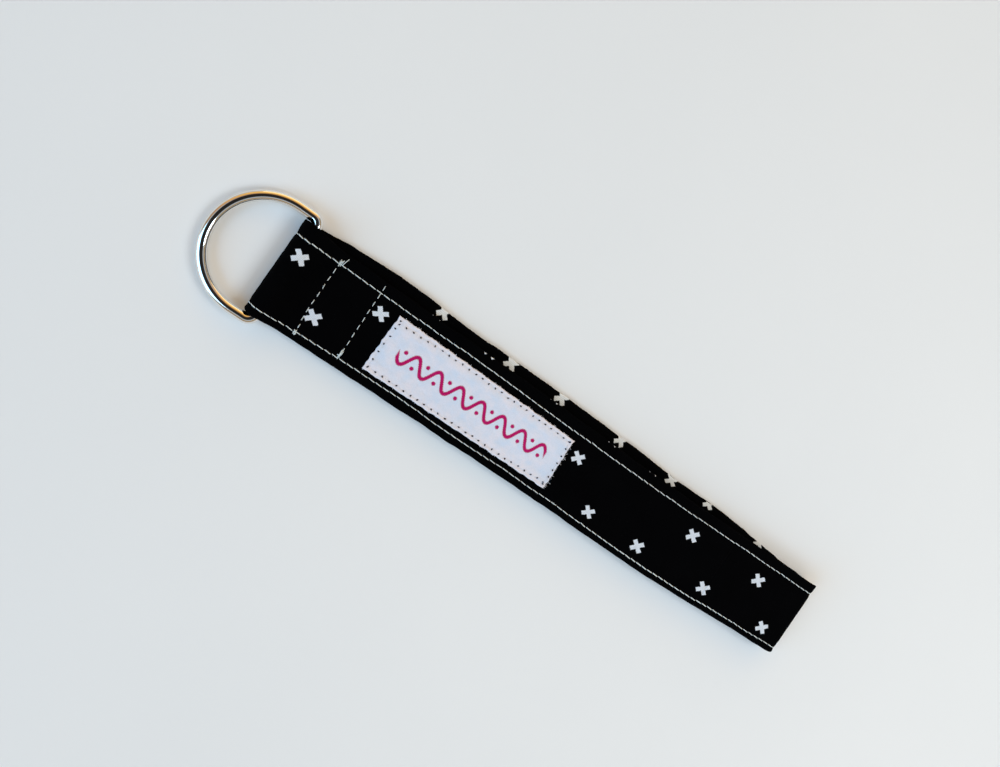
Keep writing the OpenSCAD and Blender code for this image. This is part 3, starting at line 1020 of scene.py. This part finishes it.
def seam_flaps():
    """The strip's two sewn ends, lying open between the runs, with ragged ends."""
    verts, faces = [], []
    low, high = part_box("seam_allowance")
    across = np.linspace(low.y, high.y, 30)
    ring = 2 * len(across)
    for number, side in enumerate((-1, 1)):
        ragged = waves(70 + number, 1 * MM, 6 * MM)
        reach = (high.x - low.x) / 2 - 0.35 * MM + 0.15 * MM * ragged(across)
        x = middle("seam_stitch", 0) + side * np.linspace(0.04, 1, 12)[:, None] * reach
        y = across + 0 * x
        top, under = high.z - FLAP_IN + 0 * x, low.z + FLAP_IN + 0 * x
        flap = [there_and_back(x, x), there_and_back(y, y), there_and_back(top, under)]
        shape = sweep_faces(len(x), ring, strip_cap(ring))
        verts.append(np.stack(flap, axis=-1).reshape(-1, 3))
        faces.append((shape if side > 0 else shape[:, ::-1]) + number * len(x) * ring)
    verts = np.concatenate(verts)
    piece, _ = new_piece("seam_flaps", verts, np.concatenate(faces), cotton)
    add_vector(piece, "strip", verts / MM, "POINT")
    add_vector(piece, "print_offset", np.full((len(piece.data.loops), 3), 30.0), "CORNER")
    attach(piece, "strap_base")
    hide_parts("seam_allowance")


def seam_thread():
    """The stitches that join the strip's ends."""
    low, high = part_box("seam_stitch")
    y = np.arange(low.y, high.y - STITCH, STITCH)[:, None] + STITCH * 0.95 * STITCH_SHAPE
    x = middle("seam_stitch", 0) + 0.02 * MM * STITCH_SHAPE + 0 * y
    z = middle("seam_stitch", 2) + 0.03 * MM * np.sin(math.pi * STITCH_SHAPE) + 0 * y
    piece = strands(
        "seam_thread", x, y, z, 0.13 * MM, top_thread,
        where=lambda x, y, z: np.stack([x, y, z], axis=-1),
    )
    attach(piece, "strap_base")
    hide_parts("seam_stitch")


seam_flaps()
seam_thread()


# ---- the label ----

LABEL_T = 0.26 * MM
LABEL_INSET = 1.0 * MM  # of its stitching from its edge
LABEL_STITCH = 2.15 * MM
LABEL_JITTER = 0.08 * MM
LABEL_RISE = 0.10 * MM  # of its underside above the strap
LABEL_PUFF = 0.035 * MM
LABEL_HELD = 0.17 * MM  # how far its stitches pull it down
LABEL_HELD_W = 0.55 * MM
LABEL_CURL = 0.10 * MM  # how far its edge rises outside them
LABEL_HEM = (3.3 * MM, 0.05 * MM)  # its woven edge's width, and its greater height
LABEL_SWAY = (0.16, 0.12, 0.22, 0.12)  # in mm, of its top, bottom, far and near edges
FRINGE_ENDS = (46, 90)  # at the far end, and along the sides
FRINGE_ROOT = 0.3 * MM  # how far inside the label's edge they start
label_mid_y = middle("label", 1) - upper_y
label_mid_s = s_at(middle("label", 0), 4)
label_edges = [waves(80 + i, 1.2 * MM, 9 * MM) for i in range(4)]
label_puff = waves(85, 3 * MM, 14 * MM)


def label_spot(u, v):
    """Strip coordinates of the label's own (u towards the loop end, v across), with its
    wander and skew."""
    along = u / label_half_l
    across = v / label_half_w
    top, bottom, far, near = LABEL_SWAY
    sway_v = top * smooth(across * 3 - 2) * label_edges[0](u)
    sway_v = sway_v + bottom * smooth(-across * 3 - 2) * label_edges[1](u)
    sway_u = far * smooth(along * 12 - 11) * label_edges[2](v)
    sway_u = sway_u + near * smooth(-along * 12 - 11) * label_edges[3](v)
    skew_u = -0.25 * np.maximum(along, 0) * across + 0.2 * np.maximum(-along, 0) * (across + 1)
    skew_v = 0.45 - 0.1 * along - 0.2 * across * along
    return label_mid_s - u - (sway_u + skew_u) * MM, label_mid_y + v + (sway_v + skew_v) * MM


def label_height(u, v):
    """The label's rise above the strap: held down at its stitching."""
    in_u = label_half_l - np.abs(u)
    in_v = label_half_w - np.abs(v)
    hole_u = 0.65 + 0.35 * np.cos(2 * math.pi * u / LABEL_STITCH)
    hole_v = 0.65 + 0.35 * np.cos(2 * math.pi * v / LABEL_STITCH)
    inside = (in_v > 0.8 * MM) & (in_u > 0.8 * MM)
    held = np.maximum(
        bell(in_v - LABEL_INSET, LABEL_HELD_W) * hole_u, bell(in_u - LABEL_INSET, LABEL_HELD_W) * hole_v,
    )
    edge = np.clip(1 - np.minimum(in_v, in_u) / LABEL_INSET, 0, 1)
    hem = LABEL_HEM[1] * smooth((LABEL_HEM[0] - in_v) / (0.3 * MM))
    rise = LABEL_RISE + LABEL_PUFF * label_puff(u + 2 * v) + hem
    return rise - LABEL_HELD * held * inside + LABEL_CURL * edge * (0.7 + 0.6 * label_edges[0](u * 1.3))


def label():
    """The woven label, puffed between its stitches and ragged at its far end."""
    u = stations_between(-label_half_l, label_half_l, 0.3 * MM)[:, None]
    v = np.linspace(label_half_w, -label_half_w, 56)[None, :]
    s, y = label_spot(u, v)
    rise = label_height(u, v)
    rim = np.minimum(1, np.minimum(label_half_w - np.abs(v), label_half_l - np.abs(u)) / (0.2 * MM))
    thick = LABEL_T * np.sqrt(0.3 + 0.7 * rim)
    low = run_t + np.maximum(rise - 0.05 * MM, -0.03 * MM)
    verts = place(there_and_back(s, s), there_and_back(y, y), there_and_back(low + thick, low))
    ring = verts.shape[1]
    piece, _ = new_piece("woven_label", verts, sweep_faces(len(u), ring, strip_cap(ring)), label_cloth)
    flat_v = there_and_back(v, v) + 0 * verts[..., 0]
    strip = np.stack([u + 0 * flat_v, flat_v, 0 * flat_v], axis=-1) / MM
    add_vector(piece, "strip", strip, "POINT")
    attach(piece, "upper_front")
    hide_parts("label")


def label_line():
    """The needle holes round the label, in its own coordinates."""
    across = label_half_w - LABEL_INSET
    along = label_half_l - LABEL_INSET
    long_count = int(round(2 * along / LABEL_STITCH))
    short_count = int(round(2 * across / LABEL_STITCH))
    u = np.linspace(-along, along, long_count + 1)
    v = np.linspace(-across, across, short_count + 1)
    near_corner = 0.8 * MM * bell(u + along, 8 * MM)
    far_corner = 0.5 * MM * bell(u - along, 9 * MM)
    return [
        (u, across - near_corner), (u, far_corner - across),
        (np.full(len(v), -along - 0.1 * MM), v), (np.full(len(v), along + 0.2 * MM), v),
    ]


def on_label(u, v, lift):
    """Strip coordinates of points that lie over the label's face by lift."""
    s, y = label_spot(u, v)
    return s, y, run_t + LABEL_T + label_height(u, v) + lift + 0 * s


def label_sewing():
    """Pale stitches between dark needle holes, where the bobbin's thread shows."""
    draw = np.random.default_rng(90)
    pale, dark = [], []
    t = STITCH_SHAPE
    for u, v in label_line():
        u = u + draw.normal(0, LABEL_JITTER, len(u))
        v = v + draw.normal(0, LABEL_JITTER, len(v))
        row_u = u[:-1, None] + np.diff(u)[:, None] * (0.12 + 0.76 * t)
        row_v = v[:-1, None] + np.diff(v)[:, None] * (0.12 + 0.76 * t)
        pale.append(on_label(row_u, row_v, (0.05 * np.sin(math.pi * t) - 0.13) * MM))
        reach = 0.16 * MM * (2 * t - 1)
        turn = draw.uniform(0, math.pi, len(u))[:, None]
        row_u = u[:, None] + reach * np.cos(turn)
        row_v = v[:, None] + reach * np.sin(turn)
        dark.append(on_label(row_u, row_v, 0.10 * MM))
    piece = strands("label_stitches", *joined(pale), 0.08 * MM, label_thread)
    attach(piece, "upper_front")
    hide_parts("label_stitch")
    radius = 0.3 * MM * np.sqrt(np.maximum(0.15, 1 - (2 * STITCH_SHAPE - 1) ** 2))
    piece = strands("label_bobbin_loops", *joined(dark), radius, hole_thread)
    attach(piece, "upper_front")


def label_fringe():
    """Loose ends of yarn, most at the end that was cut towards the loop end."""
    draw = np.random.default_rng(95)
    far, sides = FRINGE_ENDS
    u = np.append(np.ones(far), draw.uniform(-1, 1, sides)) * label_half_l
    edge = np.where(draw.random(sides) < 0.75, 1, -1) * label_half_w
    v = np.append((0.9 - 1.9 * draw.random(far) ** 0.7) * label_half_w, edge)
    reach = np.append(draw.gamma(1.6, 0.24, far), draw.uniform(0.12, 0.4, sides)) * MM
    turn = draw.normal(0, 0.55, far)
    turn = np.append(turn, np.sign(edge) * math.pi / 2 + draw.normal(0, 0.6, sides))[:, None]
    t = np.linspace(0, 1, 5)
    heading = turn + draw.normal(0, 0.35, far + sides)[:, None] * t ** 2
    out = (reach + FRINGE_ROOT)[:, None] * t
    row_u = u[:, None] - FRINGE_ROOT * np.cos(turn) + out * np.cos(heading)
    row_v = v[:, None] - FRINGE_ROOT * np.sin(turn) + out * np.sin(heading)
    s, y = label_spot(row_u, row_v)
    h = run_t + (0.2 + draw.uniform(-0.08, 0.1, far + sides)[:, None] * t) * MM
    piece = strands("label_fringe", s, y, h + 0 * s, 0.045 * MM, label_thread)
    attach(piece, "upper_front")


label()
label_sewing()
label_fringe()

# ---- the ring ----

ring = frame["nodes"]["d_ring"]
ring.data.materials.clear()
ring.data.materials.append(nickel)
for polygon in ring.data.polygons:
    polygon.use_smooth = True


# ---- ground, light and camera ----

FLOOR_HALF = 1.6
FLOOR_DROP = 0.15 * MM  # below the CAD, for the cloth's softer underside
GOLD_WALL_SIDE = (-0.55, 0.82, 0.15)
CAMERA_AT = (-0.0783, 0.0052, 0.1915)
CAMERA_TURN = (-9.54, -14.46, 36.06)
CAMERA_LENS = 27.04


def ground():
    mesh = bpy.data.meshes.new("ground")
    z = cad_box[0][2] - FLOOR_DROP
    turns = ((-1, -1), (1, -1), (1, 1), (-1, 1))
    corners = [(x * FLOOR_HALF, y * FLOOR_HALF, z) for x, y in turns]
    mesh.from_pydata(corners, [], [(0, 1, 2, 3)])
    mesh.materials.append(floor_material())
    plane = new_object("ground", mesh)


def softbox(name, at, size, watts, colour, shown=True):
    """An area lamp aimed at the strap's middle, shown in reflections or not."""
    data = bpy.data.lights.new(name, "AREA")
    data.shape = "RECTANGLE"
    data.size, data.size_y = size
    data.energy = watts
    data.color = colour
    lamp = new_object(name, data)
    lamp.visible_glossy = shown
    lamp.location = at
    lamp.rotation_euler = (-lamp.location).to_track_quat("-Z", "Y").to_euler()


def sky():
    """A plain room: pale low down, then a dark band, a warm one and a pale one, a dark spot
    overhead, and gold light on the wall to one side."""
    n = Nodes("room", "worlds")
    bpy.context.scene.world = n.owner
    at = n.add("ShaderNodeTexCoord").outputs["Generated"]
    z = n.split(at)[2]
    facing = n.add("ShaderNodeVectorMath", {0: at, 1: GOLD_WALL_SIDE}, operation="DOT_PRODUCT")
    facing = facing.outputs["Value"]
    none, full = (0.0, 0.0, 0.0), (1.0, 1.0, 1.0)
    height = n.ramp(z, [
        (0.27, (0.56, 0.565, 0.57)), (0.34, (0.10, 0.08, 0.06)), (0.45, (0.42, 0.26, 0.08)),
        (0.58, (0.36, 0.27, 0.13)), (0.68, (0.40, 0.43, 0.47)), (0.82, (0.44, 0.47, 0.51)),
        (0.87, (0.02, 0.02, 0.02)),
    ])
    gold = n.ramp(facing, [
        (0.60, (0.60, 0.27, 0.05)), (0.80, (0.92, 0.50, 0.11)), (1.0, (1.0, 0.66, 0.24)),
    ])
    beside = n.ramp(facing, [(0.45, none), (0.75, full)])
    above = n.ramp(z, [(0.28, none), (0.36, full)])
    share = n.mix(1.0, beside, above, "MULTIPLY")
    background = n.tree.nodes["Background"]
    n.feed(background.inputs["Color"], n.mix(share, height, gold))
    n.feed(background.inputs["Strength"], 1.0)


def camera():
    data = bpy.data.cameras.new("camera")
    data.sensor_width = 36
    data.lens = CAMERA_LENS
    view = new_object("camera", data)
    view.location = CAMERA_AT
    view.rotation_euler = [math.radians(angle) for angle in CAMERA_TURN]
    bpy.context.scene.camera = view


ground()
softbox("cool_window", (-1.08, -0.78, 0.83), (1.25, 1.25), 18.2, (0.285, 0.60, 0.925))
softbox("warm_room", (0.36, -0.06, 0.94), (1.1, 1.1), 3.5, (0.93, 0.77, 0.55), False)
softbox("low_lamp", (-0.25, 1.0, 0.42), (1.3, 0.6), 1.3, (1.0, 0.80, 0.46))
softbox("far_window", (0.44, 0.10, 0.60), (0.3, 0.3), 1.95, (0.70, 0.86, 1.0))
sky()
camera()
bpy.context.scene.view_settings.view_transform = "Standard"
